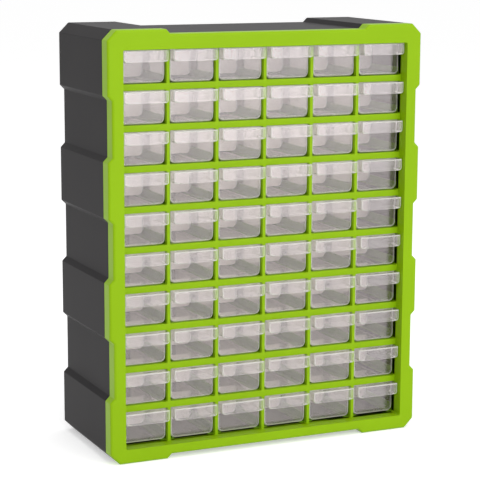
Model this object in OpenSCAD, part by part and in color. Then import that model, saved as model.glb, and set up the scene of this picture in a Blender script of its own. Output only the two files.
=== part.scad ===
// Small parts cabinet: a castellated rear casing, a front frame with a grid of cells,
// rails that carry the drawers, and clear drawers with a finger grip and a divider each.
// Frame: X to the right, Y from front to back, Z up. The origin is the centre of the base.

/* [Cells] */
// Width of one drawer cell
cell_w = 54; // [48:0.5:62]
// Height of one drawer cell
cell_h = 37.1; // [34:0.1:44]
// Width of the upright divider between two cells
divider_w = 3.8; // [3:0.1:8]
// Height of the cross bar between two rows
bar_h = 7.2; // [5:0.1:12]
// Depth of the grid of dividers and bars
grid_t = 6; // [3:0.5:10]
// How far the grid lies behind the front face
grid_recess = 14; // [8:0.5:18]
// Extra room between the outer columns and the border
side_room = 0.4; // [0:0.1:2.5]
// Extra room between the bottom row and the border
base_room = 1.4; // [0:0.1:3]

/* [Outline] */
// Depth of the cabinet from its front face to its back
cabinet_d = 158; // [150:1:200]
// Width of the border from the outer side to the cells
border_side = 18.5; // [15:0.5:30]
// Height of the border from the cells to the top
border_top = 21.55; // [16:0.05:30]
// Height of the border from the base to the cells
border_base = 17.65; // [16:0.05:30]
// How far the recessed bands lie inside the outer ones
band_step = 5; // [2:0.5:7]
// Height of one band of the sides
band_pitch = 66; // [50:1:70]
// Width of the raised corners of the top and the base, from the outer side
raised_w = 70; // [40:1:90]
// Size of the bevelled outer corners
corner_cut = 11; // [7:0.5:20]

/* [Front frame] */
// Thickness of the front plate
face_t = 2.5; // [1.5:0.1:4]
// Depth of the frame's outer skirt
skirt_d = 17; // [8:0.5:22]
// Thickness of the outer skirt
skirt_t = 2.2; // [1.5:0.1:3]
// Thickness of the inner wall round the cells
inner_wall_t = 2.5; // [1.5:0.1:4]
// Gap between the frame's skirt and the casing
seat_gap = 0.3; // [0.2:0.05:0.4]

/* [Rear casing] */
// Thickness of the casing's sides, top and base
casing_t = 3; // [2.7:0.1:4.5]
// Thickness of the back
back_t = 2.5; // [2:0.1:5]
// Thickness of the lip that fits inside the frame's skirt
lip_t = 1.7; // [1.2:0.1:2.5]
// How far the lip's root runs on behind the shoulder
lip_root = 5; // [3:0.5:10]
// Distance between the two keyholes
keyhole_spacing = 240; // [160:5:280]
// Distance of the keyholes' round entries below the top
keyhole_drop = 45; // [30:1:100]
// Radius of a keyhole's round entry
keyhole_r = 4.5; // [3.5:0.1:6]
// Width of a keyhole's slot
keyhole_slot_w = 4.6; // [3:0.1:5.5]
// Rise of the slot above the entry's centre
keyhole_rise = 10; // [8:0.5:14]

/* [Drawers] */
// Room between a drawer and the cabinet's back
back_room = 12; // [6:0.5:40]
// How far the tray's front lies behind the grid's face
tray_setback = 3.5; // [0:0.5:6]
// Thickness of the tray's sides, floor and back
tray_t = 1.4; // [1:0.1:2]
// Thickness of the tray's front
tray_front_t = 1.6; // [1.2:0.1:2.5]
// Outer radius of the tray's two lower edges
tray_r = 4; // [2.5:0.5:6]
// Gap between a drawer's side and its cell
side_gap = 1; // [0.5:0.1:2]
// Gap under a drawer
floor_gap = 0.4; // [0.3:0.1:1]
// Gap over a drawer
top_gap = 0.4; // [0.3:0.1:2]
// How far the grip's front lies behind the front face
grip_setback = 4.5; // [0:0.5:8]
// Height of the grip's front
grip_h = 12; // [9:0.2:18]
// Thickness of the grip's front, top and ends
grip_t = 1.5; // [1.2:0.1:2.5]
// Radius of the grip's lower corners
grip_r = 3; // [1:0.5:5]
// Width of the stop at the top of the tray's back
stop_w = 16; // [8:1:24]
// Rise of the stop above the tray
stop_rise = 3; // [2.2:0.2:5]

/* [Drawer divider] */
// Thickness of the divider
partition_t = 1.2; // [1:0.1:2]
// Gap between the divider and what holds it
partition_gap = 0.3; // [0.2:0.05:0.5]
// Width of a guide rib, along the tray
guide_w = 1.2; // [1:0.1:2]
// How far a guide rib stands out from the side
guide_rise = 1.4; // [1:0.1:2]
// How far the divider's top lies under the tray's rim
partition_drop = 2; // [0.5:0.5:8]

/* [Rails] */
// Width of a rail's flange to each side of its centre line
flange_half_w = 8; // [7.5:0.5:14]
// Thickness of the flange
flange_t = 1.6; // [1.2:0.1:3]
// Thickness of the upright web
web_t = 2; // [1.4:0.1:3]
// Height of the web above the flange
web_h = 8; // [4:0.5:14]

/* [Hidden] */
cols = 6;
rows = 10;
cut = 1;           // how far a cutting solid runs past what it cuts
round_fn = 48;     // fineness of the round edges and holes
diag = tan(22.5);  // shift of a 45 degree corner for each unit that its outline moves inwards

col_pitch = cell_w + divider_w;
row_pitch = cell_h + bar_h;
open_w = cols * cell_w + (cols - 1) * divider_w;
open_h = rows * cell_h + (rows - 1) * bar_h;
cabinet_w = open_w + 2 * border_side;
cabinet_h = open_h + border_top + border_base;
grid_y = grid_recess + grid_t;            // back of the grid, from the front face
back_y = cabinet_d - back_t;              // inner face of the back
tray_y = grid_recess + tray_setback;      // front of the tray
drawer_back = back_y - back_room;         // back of a drawer, from the front face
drawer_w = cell_w - 2 * side_gap;
drawer_h = cell_h - floor_gap - top_gap;
inner_r = max(tray_r - tray_t, 0.5);
slot_l = partition_t + 2 * partition_gap; // length of the slot between a pair of guide ribs
slot_y = (tray_y + drawer_back) / 2;      // middle of the slot
partition_w = drawer_w - 2 * tray_t - 2 * partition_gap;

// The steps of the sides, from the base up. The outer band comes first and last.
band_steps = [for (i = [-2.5:1:2.5]) cabinet_h / 2 + i * band_pitch];

single_rows = rows - 1;
pair_count = cols / 2;

function single_name(row, col) = str("drawer_r", row, "_c", col);
function pair_name(pair) = str("drawers_r", rows, "_c", 2 * pair - 1, "_", 2 * pair);

// Centre of a column of cells, and the floor of a row of cells counted from the top.
function cell_x(col) = (col - (cols + 1) / 2) * col_pitch;
function cell_z(row) = border_base + (rows - row) * row_pitch;

// Right half of the outline, from the base to the top, moved inwards by inset.
// A step of the sides is a 45 degree slope of the height band_step.
function side_points(inset) = [
    for (i = [0:len(band_steps) - 1])
        let (
            outer_first = i % 2 == 0,
            x_out = cabinet_w / 2 - inset,
            x_in = x_out - band_step,
            shift = (outer_first ? -1 : 1) * inset * diag,
            z = band_steps[i] + shift
        )
        each [
            [outer_first ? x_out : x_in, z - band_step / 2],
            [outer_first ? x_in : x_out, z + band_step / 2]
        ]
];

function half_outline(inset) =
    let (
        x_out = cabinet_w / 2 - inset,
        x_step = cabinet_w / 2 - raised_w + inset * diag,
        top = cabinet_h - inset,
        bevel = corner_cut - inset * (2 - sqrt(2))
    )
    concat(
        [
            [x_step - band_step / 2, inset + band_step],
            [x_step + band_step / 2, inset],
            [x_out - bevel, inset],
            [x_out, inset + bevel]
        ],
        side_points(inset),
        [
            [x_out, top - bevel],
            [x_out - bevel, top],
            [x_step + band_step / 2, top],
            [x_step - band_step / 2, top - band_step]
        ]
    );

module outline(inset) {
    right = half_outline(inset);
    left = [for (i = [len(right) - 1:-1:0]) [-right[i][0], right[i][1]]];
    polygon(concat(right, left));
}

// Gives a flat outline, drawn as X and Z, its depth: from y0 to y1 behind the front face.
module slab(y0, y1) {
    translate([0, y1 - cabinet_d / 2, 0])
        rotate([90, 0, 0])
            linear_extrude(y1 - y0) children();
}

// The rectangle round all the cells and their extra room, grown by grow on every side.
module opening(grow) {
    half_w = open_w / 2 + side_room + grow;
    translate([-half_w, border_base - base_room - grow])
        square([2 * half_w, open_h + base_room + 2 * grow]);
}

// The opening of one cell, with the extra room of the outer columns and the bottom row.
module cell_opening(row, col) {
    left = cell_w / 2 + (col == 1 ? side_room : 0);
    right = cell_w / 2 + (col == cols ? side_room : 0);
    below = row == rows ? base_room : 0;
    translate([cell_x(col) - left, cell_z(row) - below]) square([left + right, cell_h + below]);
}

// A rectangle that stands on Z = 0, with its two lower corners rounded.
module rounded_foot(w, h, r) {
    translate([-w / 2, r]) square([w, h - r]);
    translate([-w / 2 + r, 0]) square([w - 2 * r, h]);
    for (side = [-1, 1])
        translate([side * (w / 2 - r), r]) circle(r, $fn = round_fn);
}

// ---- Cabinet ----

module keyhole() {
    circle(keyhole_r, $fn = round_fn);
    translate([0, keyhole_rise]) circle(keyhole_slot_w / 2, $fn = round_fn);
    translate([-keyhole_slot_w / 2, 0]) square([keyhole_slot_w, keyhole_rise]);
}

module rear_casing() {
    shoulder_y = skirt_d + seat_gap;
    lip_out = skirt_t + seat_gap;
    color([0.27, 0.26, 0.26])
    difference() {
        union() {
            slab(shoulder_y, cabinet_d) outline(0);
            slab(face_t, shoulder_y + lip_root) outline(lip_out);
        }
        slab(face_t - cut, back_y) outline(max(lip_out + lip_t, casing_t));
        slab(shoulder_y + lip_root, back_y) outline(casing_t);
        for (side = [-1, 1])
            slab(back_y - cut, cabinet_d + cut)
                translate([side * keyhole_spacing / 2, cabinet_h - keyhole_drop]) keyhole();
    }
}

module front_frame() {
    color([0.58, 0.78, 0.08]) {
        difference() {
            union() {
                slab(0, face_t) outline(0);
                difference() {
                    slab(0, skirt_d) outline(0);
                    slab(face_t - cut, skirt_d + cut) outline(skirt_t);
                }
                slab(0, grid_y) opening(inner_wall_t);
            }
            slab(-cut, grid_recess) opening(0);
            slab(-cut, grid_y + cut)
                for (row = [1:rows])
                    for (col = [1:cols]) cell_opening(row, col);
        }
    }
}

// One rail under the line between two columns. The outermost rails have a flange on one side only.
module rail_profile(line) {
    left_w = line == 0 ? web_t / 2 : flange_half_w;
    right_w = line == cols ? web_t / 2 : flange_half_w;
    translate([-left_w, -flange_t]) square([left_w + right_w, flange_t]);
    translate([-web_t / 2, -flange_t]) square([web_t, flange_t + web_h]);
}

module drawer_rails() {
    color([0.36, 0.52, 0.06])
    for (row = [1:rows])
        for (line = [0:cols])
            slab(grid_y, back_y)
                translate([(line - cols / 2) * col_pitch, cell_z(row)]) rail_profile(line);
}

// ---- Drawer, drawn with the middle of its floor at X = 0 and Z = 0 ----

module tray() {
    difference() {
        slab(tray_y, drawer_back) rounded_foot(drawer_w, drawer_h, tray_r);
        slab(tray_y + tray_front_t, drawer_back - tray_t)
            translate([0, tray_t]) rounded_foot(drawer_w - 2 * tray_t, drawer_h, inner_r);
    }
    slab(drawer_back - tray_t, drawer_back)
        translate([-stop_w / 2, drawer_h - tray_t]) square([stop_w, stop_rise + tray_t]);
}

module grip() {
    difference() {
        slab(grip_setback, tray_y + tray_front_t / 2)
            translate([0, drawer_h - grip_h]) rounded_foot(drawer_w, grip_h, grip_r);
        slab(grip_setback + grip_t, tray_y)
            translate([-drawer_w / 2 + grip_t, drawer_h - grip_h - cut])
                square([drawer_w - 2 * grip_t, grip_h + cut - grip_t]);
    }
}

module guide_ribs() {
    rib_z = tray_r;
    rib_h = drawer_h - partition_drop - rib_z;
    for (side = [-1, 1])
        for (end = [-1, 1])
            let (
                x = side * (drawer_w / 2 - tray_t) - (side > 0 ? guide_rise : 0),
                y = slot_y + end * (slot_l + guide_w) / 2
            )
            slab(y - guide_w / 2, y + guide_w / 2)
                translate([x, rib_z]) square([guide_rise, rib_h]);
}

module partition() {
    slab(slot_y - partition_t / 2, slot_y + partition_t / 2)
        translate([0, tray_t + partition_gap])
            rounded_foot(partition_w, drawer_h - tray_t - partition_gap - partition_drop, inner_r);
}

module drawer(row, col) {
    translate([cell_x(col), 0, cell_z(row) + floor_gap]) {
        color([0.86, 0.82, 0.83]) {
            union() {
                tray();
                grip();
                guide_ribs();
            }
        }
        color([0.80, 0.77, 0.78]) partition();
    }
}

rear_casing();
front_frame();
drawer_rails();
for (row = [1:single_rows])
    for (col = [1:cols])
        drawer(row, col);
for (pair = [1:pair_count])
    for (col = [2 * pair - 1, 2 * pair])
        drawer(rows, col);
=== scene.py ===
import bpy, bmesh, math
from mathutils import Matrix, Vector


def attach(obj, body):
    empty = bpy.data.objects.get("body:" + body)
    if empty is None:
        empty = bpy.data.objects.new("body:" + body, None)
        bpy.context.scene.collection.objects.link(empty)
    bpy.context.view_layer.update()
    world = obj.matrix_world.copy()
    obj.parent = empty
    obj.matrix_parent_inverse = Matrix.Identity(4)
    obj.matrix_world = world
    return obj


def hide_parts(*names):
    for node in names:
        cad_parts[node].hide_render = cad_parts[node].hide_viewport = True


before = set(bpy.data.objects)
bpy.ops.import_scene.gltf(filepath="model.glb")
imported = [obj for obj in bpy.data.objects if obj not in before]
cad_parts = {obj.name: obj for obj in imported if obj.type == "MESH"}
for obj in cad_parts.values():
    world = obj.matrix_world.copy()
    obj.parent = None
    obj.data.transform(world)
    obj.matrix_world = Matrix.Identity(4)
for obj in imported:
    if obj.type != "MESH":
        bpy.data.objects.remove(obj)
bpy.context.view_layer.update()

# ---- Sizes, in metres ----
# They are the same as in the part's source, apart from two: TRAY_R is 2 mm and GRIP_H 1 mm larger
# here, as the photo shows them.
COLS, ROWS = 6, 10
CELL_W, CELL_H = 0.054, 0.0371
DIVIDER_W, BAR_H = 0.0038, 0.0072
GRID_RECESS, GRID_T = 0.014, 0.006
SIDE_ROOM, BASE_ROOM = 0.0004, 0.0014
CABINET_D, BACK_T = 0.158, 0.0025
BORDER_SIDE, BORDER_TOP, BORDER_BASE = 0.0185, 0.02155, 0.01765
BANDS, BAND_STEP, BAND_PITCH = 7, 0.005, 0.066
RAISED_W, CORNER_CUT = 0.070, 0.011
FACE_T, SKIRT_D, SKIRT_T, INNER_WALL_T = 0.0025, 0.017, 0.0022, 0.0025
SEAT_GAP, CASING_T, LIP_T, LIP_ROOT = 0.0003, 0.003, 0.0017, 0.005
BACK_ROOM, TRAY_SETBACK = 0.012, 0.0035
TRAY_T, TRAY_FRONT_T, TRAY_R = 0.0014, 0.0016, 0.006
SIDE_GAP, FLOOR_GAP, TOP_GAP = 0.001, 0.0004, 0.0004
GRIP_SETBACK, GRIP_H, GRIP_T, GRIP_R = 0.0045, 0.013, 0.0015, 0.003
STOP_W, STOP_RISE = 0.016, 0.003
PARTITION_T, PARTITION_GAP, PARTITION_DROP = 0.0012, 0.0003, 0.002
GUIDE_W, GUIDE_RISE = 0.0012, 0.0014
KEYHOLE_SPACING, KEYHOLE_DROP = 0.240, 0.045
KEYHOLE_R, KEYHOLE_SLOT_W, KEYHOLE_RISE = 0.0045, 0.0046, 0.010

COL_PITCH = CELL_W + DIVIDER_W
ROW_PITCH = CELL_H + BAR_H
OPEN_W = COLS * CELL_W + (COLS - 1) * DIVIDER_W
OPEN_H = ROWS * CELL_H + (ROWS - 1) * BAR_H
CABINET_W = OPEN_W + 2 * BORDER_SIDE
CABINET_H = OPEN_H + BORDER_TOP + BORDER_BASE
GRID_Y = GRID_RECESS + GRID_T
BACK_Y = CABINET_D - BACK_T
DRAWER_W = CELL_W - 2 * SIDE_GAP
DRAWER_H = CELL_H - FLOOR_GAP - TOP_GAP
DRAWER_BACK = CABINET_D - BACK_T - BACK_ROOM
HALF_W = DRAWER_W / 2
TRAY_Y = GRID_RECESS + TRAY_SETBACK
SLOT_L = PARTITION_T + 2 * PARTITION_GAP
SLOT_Y = (TRAY_Y + DRAWER_BACK) / 2

# ---- Rounded edges, drawn in the scene alone, in metres ----
OUTLINE_R, OPENING_R, CELL_R = 0.0016, 0.0015, 0.0009  # corners seen from the front
FRAME_ROUND, FRAME_EDGE = 0.003, 0.0008  # the border's outer and inner front edge
SKIRT_EDGE = 0.0002
GRID_EDGE = 0.0005
CASING_EDGE, SHOULDER_EDGE, KEYHOLE_EDGE = 0.0012, 0.0006, 0.0004
TRAY_EDGE, GRIP_EDGE = 0.0016, 0.0012
SMALL_EDGE = 0.0003
APART = 0.0001  # keeps faces apart, or lets them overlap, that would else lie in one plane
LIP_ROOM = 0.0002  # between the frame's plate and the casing's lip
GRID_RIM = 0.001  # how far the grid runs into the wall round it
MID_ARC = 0.29  # how far the middle of an arc lies from both of its edges, in radii
DIAG = math.tan(math.radians(22.5))  # shift of a 45 degree corner per unit of inset


def cell_x(col):
    return (col - (COLS + 1) / 2) * COL_PITCH


def cell_z(row):
    return BORDER_BASE + (ROWS - row) * ROW_PITCH


def depth(d):
    """The Y of a point that lies d behind the front face."""
    return d - CABINET_D / 2


# ---- Materials ----
SHADE_SCALE, SHADE_DETAIL, SHADE_RANGE = 9.0, 3.0, (0.3, 0.7)
GRAIN_DETAIL, GRAIN_STRENGTH = 4.0, 0.25
SMOOTHER, ROUGHER = 0.05, 0.08
# Scale of each plastic's grain, and its depth in metres.
FRAME_GRAIN, CASING_GRAIN, CLEAR_GRAIN = (900, 0.00006), (1400, 0.0001), (300, 0.00002)


def srgb(colour):
    def lin(c):
        c /= 255
        return c / 12.92 if c <= 0.04045 else ((c + 0.055) / 1.055) ** 2.4
    return (*(lin(c) for c in colour), 1.0)


def moulded(name, light, dark, rough, grain, alpha=1.0, specular=0.5, metallic=0.0):
    """Moulded plastic between two shades, with a fine grain in its gloss and its surface."""
    mat = bpy.data.materials.new(name)
    mat.use_nodes = True
    nodes, links = mat.node_tree.nodes, mat.node_tree.links
    shader = nodes["Principled BSDF"]
    shader.inputs["Alpha"].default_value = alpha
    shader.inputs["Specular IOR Level"].default_value = specular
    shader.inputs["Metallic"].default_value = metallic
    place = nodes.new("ShaderNodeTexCoord")

    def noise(scale, detail):
        node = nodes.new("ShaderNodeTexNoise")
        node.inputs["Scale"].default_value = scale
        node.inputs["Detail"].default_value = detail
        links.new(place.outputs["Object"], node.inputs["Vector"])
        return node.outputs["Fac"]

    ramp = nodes.new("ShaderNodeValToRGB")
    for stop, position, colour in zip(ramp.color_ramp.elements, SHADE_RANGE, (dark, light)):
        stop.position = position
        stop.color = srgb(colour)
    links.new(noise(SHADE_SCALE, SHADE_DETAIL), ramp.inputs["Fac"])
    links.new(ramp.outputs["Color"], shader.inputs["Base Color"])
    grain_scale, grain_depth = grain
    fine = noise(grain_scale, GRAIN_DETAIL)
    span = nodes.new("ShaderNodeMapRange")
    span.inputs["To Min"].default_value = rough - SMOOTHER
    span.inputs["To Max"].default_value = rough + ROUGHER
    links.new(fine, span.inputs["Value"])
    links.new(span.outputs["Result"], shader.inputs["Roughness"])
    bump = nodes.new("ShaderNodeBump")
    bump.inputs["Strength"].default_value = GRAIN_STRENGTH
    bump.inputs["Distance"].default_value = grain_depth
    links.new(fine, bump.inputs["Height"])
    links.new(bump.outputs["Normal"], shader.inputs["Normal"])
    return mat


FRAME_MAT = moulded("frame_plastic", (141, 182, 2), (137, 177, 1), 0.42, FRAME_GRAIN,
                    specular=0.15)
CASING_MAT = moulded("casing_plastic", (42, 40, 41), (37, 35, 36), 0.45, CASING_GRAIN,
                     specular=0.04)
RAIL_MAT = moulded("rail_plastic", (106, 146, 14), (96, 134, 10), 0.5, FRAME_GRAIN,
                   specular=0.25)
# The drawers' clear plastic, with a clarity and a gloss of its own for each kind of wall. The
# near-opaque white back is painted light, standing in for light that comes through it from behind,
# and the whitish edge is partly painted glow.
CLEAR_MAT = moulded("drawer_plastic", (240, 228, 225), (234, 222, 220), 0.2, CLEAR_GRAIN,
                    alpha=0.14, metallic=0.1)
# Edges, guides and rims: more opaque and whitish, partly for the wall seen edge-on through its
# thickness, partly painted glow of the light that clear plastic carries along to its edges.
EDGE_MAT = moulded("drawer_edge", (224, 220, 216), (217, 212, 209), 0.3, CLEAR_GRAIN, alpha=0.72)
# The backs: near-opaque and whiter than the rest, painted light that stands in for light coming
# through them from behind.
BACK_MAT = moulded("drawer_back", (255, 244, 240), (251, 238, 235), 0.3, CLEAR_GRAIN, alpha=0.95)
FRONT_MAT = moulded("drawer_front", (250, 242, 243), (244, 235, 238), 0.16, CLEAR_GRAIN,
                    alpha=0.07, metallic=1.0)
FLOOR_MAT = moulded("drawer_floor", (254, 243, 240), (250, 238, 236), 0.2, CLEAR_GRAIN,
                    alpha=0.2, metallic=0.2)
DIVIDER_MAT = moulded("divider_plastic", (255, 244, 240), (251, 238, 235), 0.3, CLEAR_GRAIN,
                      alpha=0.65)
TRAY_MATS = (CLEAR_MAT, EDGE_MAT, BACK_MAT, FRONT_MAT, FLOOR_MAT)
CLEAR, EDGE, BACK, FRONT, FLOOR = range(len(TRAY_MATS))


# ---- Mesh tools ----
SHADE_ANGLE, BEVEL_ANGLE = math.radians(35), math.radians(50)
# Least part of a face's normal along an axis: that of a face square to it, and of a wall that is
# said to face that way.
SQUARE, FACING = 0.99, 0.9
SHARP = 1  # radians
NEAR = 1e-7  # metres


def ring(bm, points, d):
    return [bm.verts.new((x, depth(d), z)) for x, z in points]


def skin(bm, rings):
    """The faces between each ring and the next."""
    for a, b in zip(rings, rings[1:]):
        for i in range(len(a)):
            j = (i + 1) % len(a)
            bm.faces.new((a[i], a[j], b[j], b[i]))


def cap(bm, rings):
    """A flat face inside the first ring, with the other rings as its holes."""
    edges = []
    for loop in rings:
        for i, v in enumerate(loop):
            w = loop[(i + 1) % len(loop)]
            edges.append(bm.edges.get((v, w)) or bm.edges.new((v, w)))
    bmesh.ops.triangle_fill(bm, use_beauty=True, use_dissolve=False, edges=edges)


def soften(points, radius, steps=4):
    """Each corner of a closed outline becomes an arc of steps + 1 points."""
    most = 0.45  # the longest part of an edge that a corner at one of its ends takes up
    out = []
    for i, p in enumerate(points):
        p = Vector(p)
        a = Vector(points[i - 1]) - p
        b = Vector(points[(i + 1) % len(points)]) - p
        la, lb = a.length, b.length
        a.normalize()
        b.normalize()
        half = a.angle(b) / 2
        cut = min(radius / math.tan(half), most * la, most * lb)
        r = cut * math.tan(half)
        centre = p + (a + b).normalized() * (r / math.sin(half))
        start, end = p + a * cut - centre, p + b * cut - centre
        turn = math.atan2(start.x * end.y - start.y * end.x, start.dot(end))
        for k in range(steps + 1):
            t = turn * k / steps
            c, s = math.cos(t), math.sin(t)
            v = centre + Vector((start.x * c - start.y * s, start.x * s + start.y * c))
            out.append((v.x, v.y))
    return out


def to_object(bm, name, *materials):
    bmesh.ops.recalc_face_normals(bm, faces=bm.faces)
    mesh = bpy.data.meshes.new(name)
    bm.to_mesh(mesh)
    bm.free()
    for mat in materials:
        mesh.materials.append(mat)
    obj = bpy.data.objects.new(name, mesh)
    bpy.context.scene.collection.objects.link(obj)
    return obj


def finish_mesh(obj):
    """Applies the object's modifiers, with flat shading for its flats beside rounded edges."""
    obj.data.polygons.foreach_set("use_smooth", [True] * len(obj.data.polygons))
    obj.data.set_sharp_from_angle(angle=SHADE_ANGLE)
    weigh = obj.modifiers.new("weigh", "WEIGHTED_NORMAL")
    weigh.keep_sharp = True
    graph = bpy.context.evaluated_depsgraph_get()
    mesh = bpy.data.meshes.new_from_object(obj.evaluated_get(graph))
    obj.modifiers.clear()
    old, obj.data = obj.data, mesh
    mesh.name = old.name + "_mesh"
    bpy.data.meshes.remove(old)
    return obj


# ---- Cabinet ----
def outline(inset):
    """The cabinet seen from the front, with its raised corners and the bands of its sides."""
    x_out, top = CABINET_W / 2 - inset, CABINET_H - inset
    x_step = CABINET_W / 2 - RAISED_W + inset * DIAG
    bevel = CORNER_CUT - inset * (2 - math.sqrt(2))
    half = BAND_STEP / 2
    right = [(x_step - half, inset + BAND_STEP), (x_step + half, inset),
             (x_out - bevel, inset), (x_out, inset + bevel)]
    steps = BANDS - 1
    for i in range(steps):
        inwards = i % 2 == 0
        shift = (-1 if inwards else 1) * inset * DIAG
        z = CABINET_H / 2 + (i - (steps - 1) / 2) * BAND_PITCH + shift
        first, second = (x_out, x_out - BAND_STEP) if inwards else (x_out - BAND_STEP, x_out)
        right += [(first, z - half), (second, z + half)]
    right += [(x_out, top - bevel), (x_out - bevel, top),
              (x_step + half, top), (x_step - half, top - BAND_STEP)]
    left = [(-x, z) for x, z in reversed(right)]
    return soften(right + left, OUTLINE_R)


def rectangle(x0, x1, z0, z1, radius, steps=4):
    return soften([(x0, z0), (x1, z0), (x1, z1), (x0, z1)], radius, steps)


def opening(grow):
    """The rectangle round all the cells."""
    half_w = OPEN_W / 2 + SIDE_ROOM + grow
    low = BORDER_BASE - BASE_ROOM - grow
    return rectangle(-half_w, half_w, low, BORDER_BASE + OPEN_H + grow, OPENING_R + grow)


def cell_opening(row, col, grow):
    """One cell. The outer columns and the bottom row have some room to spare."""
    left = CELL_W / 2 + (SIDE_ROOM if col == 1 else 0) + grow
    right = CELL_W / 2 + (SIDE_ROOM if col == COLS else 0) + grow
    low = cell_z(row) - (BASE_ROOM if row == ROWS else 0) - grow
    return rectangle(cell_x(col) - left, cell_x(col) + right, low, cell_z(row) + CELL_H + grow,
                     CELL_R + grow, 3)


def grid_face(bm, d, rings):
    """One face of the grid, laid round the rings of all the cells. Returns its rim."""
    half_w = OPEN_W / 2 + SIDE_ROOM + GRID_RIM
    xs = [-half_w] + [cell_x(col) + COL_PITCH / 2 for col in range(1, COLS)] + [half_w]
    zs = [BORDER_BASE - BASE_ROOM - GRID_RIM]
    zs += [cell_z(row) - BAR_H / 2 for row in range(ROWS - 1, 0, -1)]
    zs.append(BORDER_BASE + OPEN_H + GRID_RIM)
    joints = [[bm.verts.new((x, depth(d), z)) for x in xs] for z in zs]
    for (row, col), loop in rings.items():
        i, j = ROWS - row, col - 1
        around = (joints[i][j], joints[i][j + 1], joints[i + 1][j + 1], joints[i + 1][j])
        n = len(loop) // 4
        for k in range(4):
            arc = loop[k * n:(k + 1) * n]
            for a, b in zip(arc, arc[1:]):
                bm.faces.new((around[k], a, b))
            next_arc = loop[(k + 1) * n % len(loop)]
            bm.faces.new((around[k], arc[-1], next_arc, around[(k + 1) % 4]))
    return (joints[0] + [line[-1] for line in joints[1:-1]] + joints[-1][::-1]
            + [line[0] for line in joints[-2:0:-1]])


def build_frame():
    bm = bmesh.new()
    plate_back = FACE_T - APART
    outer = [(SKIRT_T, plate_back), (SKIRT_T, SKIRT_D - SKIRT_EDGE),
             (SKIRT_T - SKIRT_EDGE, SKIRT_D), (SMALL_EDGE, SKIRT_D), (0, SKIRT_D - SMALL_EDGE)]
    steps = 6
    for k in range(steps + 1):
        t = math.pi / 2 * k / steps
        outer.append((FRAME_ROUND * (1 - math.cos(t)), FRAME_ROUND * (1 - math.sin(t))))
    outer = [ring(bm, outline(inset), d) for inset, d in outer]
    inner = [(FRAME_EDGE, 0), (MID_ARC * FRAME_EDGE, MID_ARC * FRAME_EDGE), (0, FRAME_EDGE),
             (0, GRID_Y - SMALL_EDGE), (SMALL_EDGE, GRID_Y), (INNER_WALL_T - SMALL_EDGE, GRID_Y),
             (INNER_WALL_T, GRID_Y - SMALL_EDGE), (INNER_WALL_T, plate_back)]
    inner = [ring(bm, opening(grow), d) for grow, d in inner]
    skin(bm, outer)
    skin(bm, inner)
    cap(bm, [outer[-1], inner[0]])
    cap(bm, [outer[0], inner[-1]])
    # The grid: a plate whose rim lies in the inner wall, with one opening for each cell.
    grid_back = GRID_Y - APART
    steps = [(GRID_EDGE, GRID_RECESS), (MID_ARC * GRID_EDGE, GRID_RECESS + MID_ARC * GRID_EDGE),
             (0, GRID_RECESS + GRID_EDGE), (0, grid_back)]
    front, back = {}, {}
    for row in range(1, ROWS + 1):
        for col in range(1, COLS + 1):
            rings = [ring(bm, cell_opening(row, col, grow), d) for grow, d in steps]
            skin(bm, rings)
            front[row, col], back[row, col] = rings[0], rings[-1]
    skin(bm, [grid_face(bm, GRID_RECESS, front), grid_face(bm, grid_back, back)])
    return finish_mesh(to_object(bm, "frame_moulding", FRAME_MAT))


def keyhole(side, grow):
    """A round entry with a slot that rises from it, grown by grow."""
    r, half = KEYHOLE_R + grow, KEYHOLE_SLOT_W / 2 + grow
    slot_steps, entry_steps = 12, 32
    points = []
    for k in range(slot_steps + 1):
        t = math.pi * k / slot_steps
        points.append((half * math.cos(t), KEYHOLE_RISE + half * math.sin(t)))
    start = math.asin(half / r)
    for k in range(entry_steps + 1):
        t = start + (2 * math.pi - 2 * start) * k / entry_steps
        points.append((-r * math.sin(t), r * math.cos(t)))
    x = side * KEYHOLE_SPACING / 2
    return [(x + px, CABINET_H - KEYHOLE_DROP + pz) for px, pz in points]


def build_casing():
    """One wall thickness all round, with a lip in front that fits into the frame's skirt."""
    bm = bmesh.new()
    shoulder, root = SKIRT_D + SEAT_GAP, SKIRT_D + SEAT_GAP + LIP_ROOT
    lip_out, lip_in = SKIRT_T + SEAT_GAP, SKIRT_T + SEAT_GAP + LIP_T
    lip_y = FACE_T + LIP_ROOM
    steps = [(CASING_T, BACK_Y), (CASING_T, root), (lip_in, root), (lip_in, lip_y),
             (lip_out, lip_y), (lip_out, shoulder), (SHOULDER_EDGE, shoulder),
             (0, shoulder + SHOULDER_EDGE), (0, CABINET_D - CASING_EDGE),
             (MID_ARC * CASING_EDGE, CABINET_D - MID_ARC * CASING_EDGE), (CASING_EDGE, CABINET_D)]
    rings = [ring(bm, outline(inset), d) for inset, d in steps]
    skin(bm, rings)
    hole_steps = ((KEYHOLE_EDGE, CABINET_D), (0, CABINET_D - KEYHOLE_EDGE), (0, BACK_Y))
    holes = []
    for side in (-1, 1):
        hole = [ring(bm, keyhole(side, grow), d) for grow, d in hole_steps]
        skin(bm, hole)
        holes.append(hole)
    cap(bm, [rings[-1]] + [hole[0] for hole in holes])
    cap(bm, [rings[0]] + [hole[-1] for hole in holes])
    return finish_mesh(to_object(bm, "casing_shell", CASING_MAT))


# ---- Drawers, each drawn with the middle of its floor at X = 0 and Z = 0 ----
def block(bm, x0, x1, y0, y1, z0, z1):
    corners = [bm.verts.new((x, depth(y), z)) for z in (z0, z1) for y in (y0, y1) for x in (x0, x1)]
    faces = [(0, 2, 3, 1), (4, 5, 7, 6), (0, 1, 5, 4), (2, 6, 7, 3), (0, 4, 6, 2), (1, 3, 7, 5)]
    return [bm.faces.new([corners[i] for i in f]) for f in faces]


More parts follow.
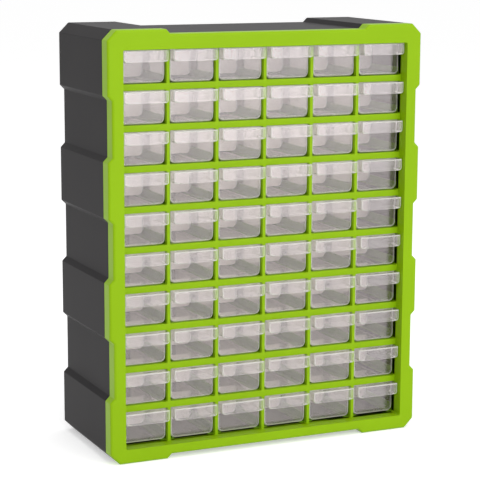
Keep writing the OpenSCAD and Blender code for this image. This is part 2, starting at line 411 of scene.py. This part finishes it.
def remove_faces(bm, axis, sign):
    """Deletes the flat faces of a box that face one way along one axis."""
    bm.normal_update()
    faces = [f for f in bm.faces if f.normal[axis] * sign > SQUARE]
    bmesh.ops.delete(bm, geom=faces, context="FACES_ONLY")


def round_edges(bm, edges, radius, segments=2, **more):
    bmesh.ops.bevel(bm, geom=edges, offset=radius, segments=segments, profile=0.5,
                    affect="EDGES", **more)


def shell(name, x, y0, y1, z0, z1, foot_r, edge_r, wall, is_grip):
    """A thin-walled box with rounded lower edges along Y. A tray is open above and has rounded
    edges round its front and its back, a grip is open below and behind and has them in front."""
    bm = bmesh.new()
    block(bm, -x, x, y0, y1, z0, z1)
    feet = [e for e in bm.edges if all(abs(v.co.z - z0) < NEAR for v in e.verts)
            and abs(e.verts[0].co.x - e.verts[1].co.x) < NEAR]
    round_edges(bm, feet, foot_r, 5)
    remove_faces(bm, 2, -1 if is_grip else 1)
    if is_grip:
        remove_faces(bm, 1, 1)
    ends = [depth(y0)] if is_grip else [depth(y0), depth(y1)]
    rims = [e for e in bm.edges if len(e.link_faces) == 2
            and any(all(abs(v.co.y - y) < NEAR for v in e.verts) for y in ends)]
    # The rims take the edge material, whose whitish look is partly painted glow.
    round_edges(bm, rims, edge_r, 3, material=EDGE)
    obj = to_object(bm, name, CLEAR_MAT, EDGE_MAT)
    thick = obj.modifiers.new("wall", "SOLIDIFY")
    thick.thickness = wall
    thick.offset = -1
    thick.use_even_offset = True
    # The cut faces of the wall take the edge material too, with its partly painted glow.
    thick.material_offset_rim = EDGE
    soft = obj.modifiers.new("edges", "BEVEL")
    soft.width = SMALL_EDGE
    soft.segments = 2
    soft.limit_method = "ANGLE"
    soft.angle_limit = BEVEL_ANGLE
    return finish_mesh(obj)


def bar(name, x0, x1, y0, y1, z0, z1, mat_index=CLEAR):
    bm = bmesh.new()
    for f in block(bm, x0, x1, y0, y1, z0, z1):
        f.material_index = mat_index
    round_edges(bm, list(bm.edges), SMALL_EDGE)
    return finish_mesh(to_object(bm, name, CLEAR_MAT, EDGE_MAT))


def joined(name, pieces):
    """One mesh of all the pieces. Its clear faces get the material of the way that they face, the
    backs a near-opaque white one that is painted light from behind.
    """
    bm = bmesh.new()
    for piece in pieces:
        bm.from_mesh(piece.data)
        bpy.data.objects.remove(piece)
    mesh = bpy.data.meshes.new(name)
    bm.to_mesh(mesh)
    bm.free()
    for mat in TRAY_MATS:
        mesh.materials.append(mat)
    for face in mesh.polygons:
        if face.material_index != CLEAR:
            continue
        if abs(face.normal.y) > FACING:
            # A back gets the near-opaque white material, painted light from behind.
            face.material_index = BACK if face.center.y > 0 else FRONT
        elif abs(face.normal.z) > FACING:
            face.material_index = FLOOR
    return mesh


def tray_mesh():
    pieces = [
        shell("tray", HALF_W, TRAY_Y, DRAWER_BACK, 0, DRAWER_H, TRAY_R, TRAY_EDGE, TRAY_T, False),
        shell("grip", HALF_W, GRIP_SETBACK, TRAY_Y + TRAY_FRONT_T / 2, DRAWER_H - GRIP_H,
              DRAWER_H, GRIP_R, GRIP_EDGE, GRIP_T, True),
        bar("stop", -STOP_W / 2, STOP_W / 2, DRAWER_BACK - TRAY_T, DRAWER_BACK,
            DRAWER_H - TRAY_T, DRAWER_H + STOP_RISE),
    ]
    wall = HALF_W - TRAY_T
    for side in (-1, 1):
        for end in (-1, 1):
            x0, x1 = sorted((side * (wall + APART), side * (wall - GUIDE_RISE)))
            y = SLOT_Y + end * (SLOT_L + GUIDE_W) / 2
            # The guides take the edge material, whose whitish look is partly painted glow.
            pieces.append(bar("guide", x0, x1, y - GUIDE_W / 2, y + GUIDE_W / 2,
                              TRAY_R, DRAWER_H - PARTITION_DROP, EDGE))
    return joined("tray_moulding", pieces)


def divider_mesh():
    x = HALF_W - TRAY_T - PARTITION_GAP
    low, high = TRAY_T + PARTITION_GAP, DRAWER_H - PARTITION_DROP
    r = TRAY_R - TRAY_T
    steps = 6
    foot = []
    for k in range(steps, -1, -1):
        t = math.pi / 2 * k / steps
        foot.append((-x + r - r * math.sin(t), low + r - r * math.cos(t)))
    points = foot + [(-px, pz) for px, pz in reversed(foot)] + [(x, high), (-x, high)]
    bm = bmesh.new()
    bm.faces.new(ring(bm, points, SLOT_Y - PARTITION_T / 2))
    out = bmesh.ops.extrude_face_region(bm, geom=list(bm.faces))
    bmesh.ops.translate(bm, vec=(0, PARTITION_T, 0),
                        verts=[v for v in out["geom"] if isinstance(v, bmesh.types.BMVert)])
    bmesh.ops.recalc_face_normals(bm, faces=bm.faces)
    for f in bm.faces:
        # Faces across the plate take the edge material, with its partly painted glow.
        f.material_index = CLEAR if abs(f.normal.y) > FACING else EDGE
    sharp = [e for e in bm.edges if len(e.link_faces) == 2 and e.calc_face_angle() > SHARP]
    round_edges(bm, sharp, SMALL_EDGE)
    obj = finish_mesh(to_object(bm, "divider_plate", DIVIDER_MAT, EDGE_MAT))
    mesh = obj.data
    bpy.data.objects.remove(obj)
    return mesh


def add_drawer_piece(name, mesh, row, col, body, node=None):
    obj = bpy.data.objects.new(name, mesh)
    bpy.context.scene.collection.objects.link(obj)
    obj.location = (cell_x(col), 0, cell_z(row) + FLOOR_GAP)
    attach(obj, body)
    if node:
        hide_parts(node)


cabinet_frame = build_frame()
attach(cabinet_frame, "cabinet")
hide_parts("front_frame")
cabinet_casing = build_casing()
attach(cabinet_casing, "cabinet")
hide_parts("rear_casing")
# The rails are shown as the part's own solids.
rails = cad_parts["drawer_rails"]
rails.data.materials.clear()
rails.data.materials.append(RAIL_MAT)

tray, divider = tray_mesh(), divider_mesh()
for row in range(1, ROWS + 1):
    for col in range(1, COLS + 1):
        body = node = f"drawer_r{row}_c{col}"
        if row == ROWS:  # the bottom row's drawers move in pairs
            first = col - (col - 1) % 2
            body = f"drawers_r{row}_c{first}_{first + 1}"
            node = body if col == first else None
        add_drawer_piece(f"tray_r{row}_c{col}", tray, row, col, body, node)
        add_drawer_piece(f"divider_r{row}_c{col}", divider, row, col, body)


# ---- Studio ----
KEY_POWER, KEY_SIZE = 45, 3.0
OVERHEAD_POWER, OVERHEAD_SIZE = 12, 1.6
MIDDLE = Vector((0, 0, 0.24))
WORLD_LIGHT = 0.6
FLOOR_SEEN, FLOOR_MIRRORED = 0.45, 0.8
FLOOR_RADIUS, FLOOR_DROP = 20, 0.0002


def calc(tree, operation, *values):
    """The result of a Math node. Each value is a number or another node's output."""
    node = tree.nodes.new("ShaderNodeMath")
    node.operation = operation
    for socket, value in zip(node.inputs, values):
        if isinstance(value, (int, float)):
            socket.default_value = value
        else:
            tree.links.new(value, socket)
    return node.outputs[0]


def area_light(name, place, power, size):
    lamp = bpy.data.lights.new(name, "AREA")
    lamp.energy = power
    lamp.size = size
    obj = bpy.data.objects.new(name, lamp)
    bpy.context.scene.collection.objects.link(obj)
    obj.location = place
    obj.rotation_mode = "QUATERNION"
    obj.rotation_quaternion = (MIDDLE - Vector(place)).to_track_quat("-Z", "Y")


area_light("key", (0.3, -2.4, 1.0), KEY_POWER, KEY_SIZE)
area_light("overhead", (0, -0.3, 2.2), OVERHEAD_POWER, OVERHEAD_SIZE)

floor_mesh = bpy.data.meshes.new("floor")
bm = bmesh.new()
bmesh.ops.create_circle(bm, cap_ends=True, segments=96, radius=FLOOR_RADIUS)
bm.to_mesh(floor_mesh)
bm.free()
floor = bpy.data.objects.new("floor", floor_mesh)
bpy.context.scene.collection.objects.link(floor)
floor.location = (0, 0, -FLOOR_DROP)
floor_mat = bpy.data.materials.new("floor")
floor_mat.use_nodes = True
floor_mesh.materials.append(floor_mat)
paint = floor_mat.node_tree.nodes["Principled BSDF"]
paint.inputs["Base Color"].default_value = (0.9, 0.9, 0.9, 1)
paint.inputs["Roughness"].default_value = 0.9
paint.inputs["Specular IOR Level"].default_value = 0
paint.inputs["Emission Color"].default_value = (1, 1, 1, 1)
# The floor looks white to the camera and in reflections, and lights nothing else.
tree = floor_mat.node_tree
rays = tree.nodes.new("ShaderNodeLightPath").outputs
seen = calc(tree, "MULTIPLY", rays["Is Camera Ray"], FLOOR_SEEN)
level = calc(tree, "MULTIPLY_ADD", rays["Is Glossy Ray"], FLOOR_MIRRORED, seen)
tree.links.new(level, paint.inputs["Emission Strength"])

scene = bpy.context.scene
world = bpy.data.worlds.new("studio")
scene.world = world
world.use_nodes = True
tree = world.node_tree
sky = tree.nodes["Background"]
sky.inputs["Color"].default_value = (1, 1, 1, 1)
# The world looks white straight, mirrored and through glass, and lights the object less.
rays = tree.nodes.new("ShaderNodeLightPath").outputs
seen = calc(tree, "MAXIMUM", rays["Is Camera Ray"], rays["Is Glossy Ray"])
seen = calc(tree, "MAXIMUM", seen, rays["Is Transmission Ray"])
level = calc(tree, "MULTIPLY_ADD", seen, 1 - WORLD_LIGHT, WORLD_LIGHT)
tree.links.new(level, sky.inputs["Strength"])

# The camera was fitted to edge points of the photo: its place in metres, its angles in degrees
# and its focal length in pixels.
EYE = Vector((-0.8236, -1.7997, 0.5843))
YAW, PITCH, ROLL = -24.59, 10.28, 0.24
FOCAL_PX, PHOTO_PX, SENSOR_W = 1737.8, 480, 36
camera = bpy.data.cameras.new("camera")
camera.sensor_width = SENSOR_W
camera.lens = FOCAL_PX / PHOTO_PX * SENSOR_W
camera.clip_start, camera.clip_end = 0.05, 50
eye = bpy.data.objects.new("camera", camera)
scene.collection.objects.link(eye)
yaw, pitch, roll = (math.radians(a) for a in (YAW, PITCH, ROLL))
ahead = Vector((-math.sin(yaw) * math.cos(pitch), math.cos(yaw) * math.cos(pitch),
                -math.sin(pitch)))
right = ahead.cross(Vector((0, 0, 1))).normalized()
up = right.cross(ahead)
right, up = (right * math.cos(roll) + up * math.sin(roll),
             up * math.cos(roll) - right * math.sin(roll))
turn = Matrix((right, up, -ahead)).transposed().to_4x4()
eye.matrix_world = Matrix.Translation(EYE) @ turn

scene.camera = eye
scene.view_settings.view_transform = "Standard"
scene.cycles.transparent_max_bounces = 64  # many clear walls lie behind each other
